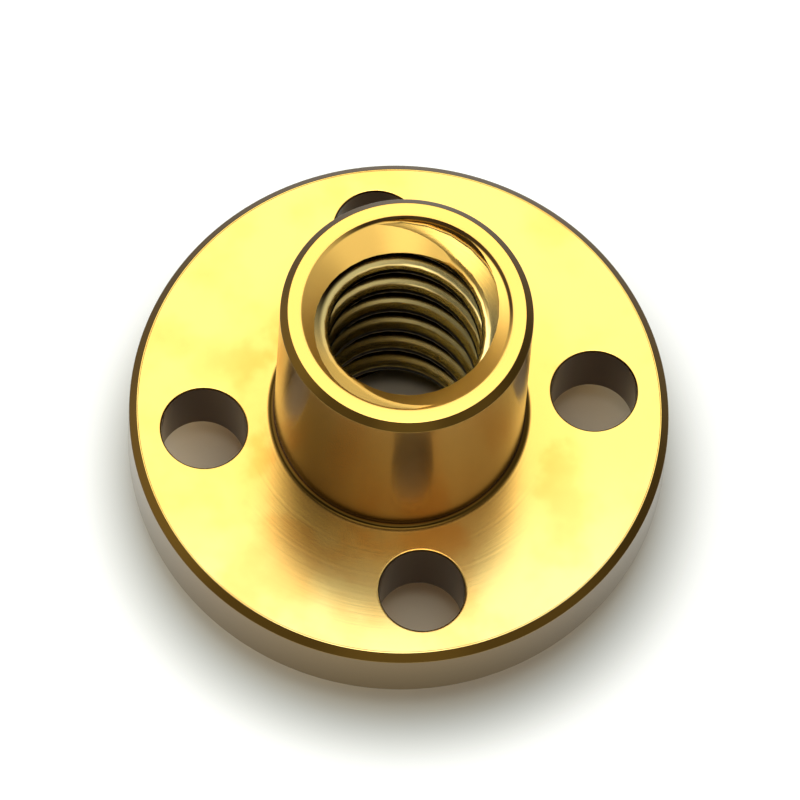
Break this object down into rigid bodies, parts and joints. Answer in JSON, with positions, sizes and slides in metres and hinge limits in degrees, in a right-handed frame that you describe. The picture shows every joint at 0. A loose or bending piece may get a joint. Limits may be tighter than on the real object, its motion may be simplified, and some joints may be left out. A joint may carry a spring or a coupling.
{
  "type": "lead screw nut",
  "caption": "Round flanged lead screw nut turned from brass, with a barrel, a short spigot, plain fixing holes in the flange and a multi-start trapezoidal thread.",
  "frame": {"origin": "centre of the spigot's end face, which is the face the free-standing nut rests on", "axes": "+Z along the thread axis, from the spigot to the mouth of the barrel; +X and +Y through the centres of fixing holes"},
  "size_m": [0.022, 0.022, 0.015],
  "materials": {
    "turned_brass": "turned, glossy on the flange and fine-lined on the barrel, lightly tarnished"
  },
  "bodies": {
    "root": {"flanged_nut": "turned_brass"}
  },
  "joints": []
}
